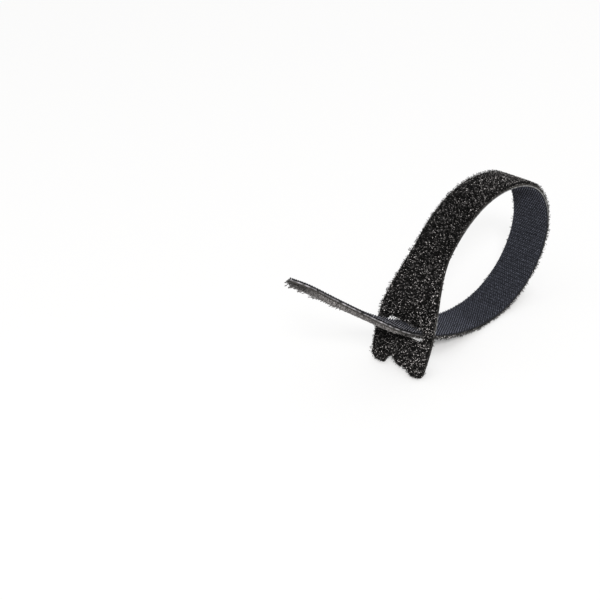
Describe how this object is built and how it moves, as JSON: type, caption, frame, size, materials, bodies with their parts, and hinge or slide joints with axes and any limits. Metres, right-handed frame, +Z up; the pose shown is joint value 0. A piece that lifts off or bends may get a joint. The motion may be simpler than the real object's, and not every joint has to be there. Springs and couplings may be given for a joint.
{
  "type": "hook and loop cable tie",
  "caption": "Flat hook and loop strap closed into a loop, its tapered tail threaded through a slot in the notched, widened head.",
  "frame": {"origin": "middle of the bounding box in plan, at the height of the surface that the tie stands on", "axes": "+X from the tail towards the loop, along the longest side; +Y across the strap's width; +Z up"},
  "size_m": [0.0902, 0.0198, 0.0431],
  "materials": {
    "nylon_strap": "matt black woven nylon with loop pile outside and hooks inside"
  },
  "bodies": {
    "root": {"strap": "nylon_strap"}
  },
  "joints": []
}
